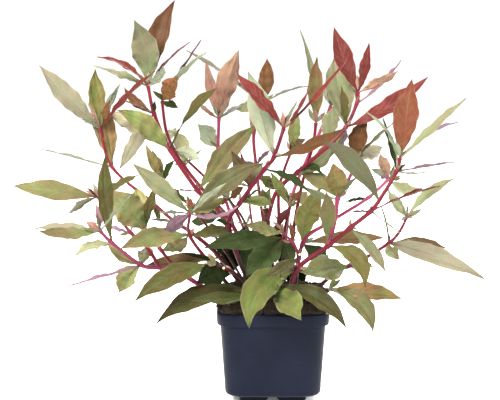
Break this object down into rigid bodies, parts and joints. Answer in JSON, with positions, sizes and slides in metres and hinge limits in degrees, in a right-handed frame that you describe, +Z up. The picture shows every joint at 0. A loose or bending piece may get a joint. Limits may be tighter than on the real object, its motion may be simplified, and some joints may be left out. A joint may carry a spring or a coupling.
{
  "type": "potted alternanthera reineckii plant",
  "caption": "Bushy water plant with crimson stems and wavy olive to red lance-shaped leaves, grown above water in a square dark plastic nursery pot that stands on its foot.",
  "frame": {"origin": "on the ground under the middle of the square pot, on the flat middle of its foot", "axes": "+Z up along the pot's axis; -Y towards the viewer's side of the plant; +X along the pot's side to the viewer's right, the plant's longest extent"},
  "size_m": [0.3824, 0.226, 0.3324],
  "materials": {
    "pot": "satin",
    "soil": "matte",
    "stem": "satin",
    "leaf_bronze": "satin",
    "leaf_brown": "satin",
    "leaf_dark": "satin",
    "leaf_green": "satin",
    "leaf_lime": "satin",
    "leaf_moss": "satin",
    "leaf_olive": "satin",
    "leaf_orange": "satin",
    "leaf_pale": "satin",
    "leaf_red": "satin",
    "leaf_rose": "satin",
    "leaf_sage": "satin",
    "leaf_taupe": "satin"
  },
  "bodies": {
    "root": {"pot": "pot", "soil": "soil", "stem_low_left": "stem", "stem_mid_left": "stem", "stem_short_left": "stem", "stem_front_left": "stem", "stem_far_left": "stem", "stem_inner_left": "stem", "stem_tall_left": "stem", "stem_back_tall_left": "stem", "stem_back_left": "stem", "stem_back_pink": "stem", "stem_brown_back": "stem", "stem_front_arch": "stem", "stem_thin_centre": "stem", "stem_back_centre": "stem", "stem_cut_centre": "stem", "stem_upright_centre": "stem", "stem_centre_right": "stem", "stem_long_right": "stem", "stem_pink_right": "stem", "stem_upright_right": "stem", "stem_front_right": "stem", "stem_cut_right": "stem", "stem_mid_right": "stem", "stem_rising_right": "stem", "stem_low_right": "stem", "stem_base_right": "stem", "stem_base_front": "stem", "stem_base_left": "stem", "leaf_front_lime": "leaf_lime", "leaf_right_long": "leaf_sage", "leaf_low_left_long": "leaf_moss", "leaf_top_sage": "leaf_sage", "leaf_far_right": "leaf_taupe", "leaf_centre_inner": "leaf_olive", "leaf_front_left": "leaf_moss", "leaf_right_low": "leaf_green", "leaf_right_orange": "leaf_orange", "leaf_centre_arching": "leaf_dark", "leaf_top_brown": "leaf_brown", "leaf_centre_olive": "leaf_olive", "leaf_top_left": "leaf_sage", "leaf_front_centre": "leaf_lime", "leaf_upper_left": "leaf_taupe", "leaf_centre_pale": "leaf_pale", "leaf_front_right": "leaf_moss", "leaf_left_broad": "leaf_olive", "leaf_right_red": "leaf_red", "leaf_far_left": "leaf_olive", "leaf_upper_left_green": "leaf_green", "leaf_low_left_bronze": "leaf_bronze", "leaf_left_olive": "leaf_olive", "leaf_back_rose": "leaf_rose", "leaf_top_red": "leaf_red", "leaf_centre_moss": "leaf_moss", "leaf_upper_left_taupe": "leaf_taupe", "leaf_left_upright": "leaf_moss", "leaf_left_back": "leaf_green", "leaf_front_right_hanging": "leaf_olive"}
  },
  "joints": []
}
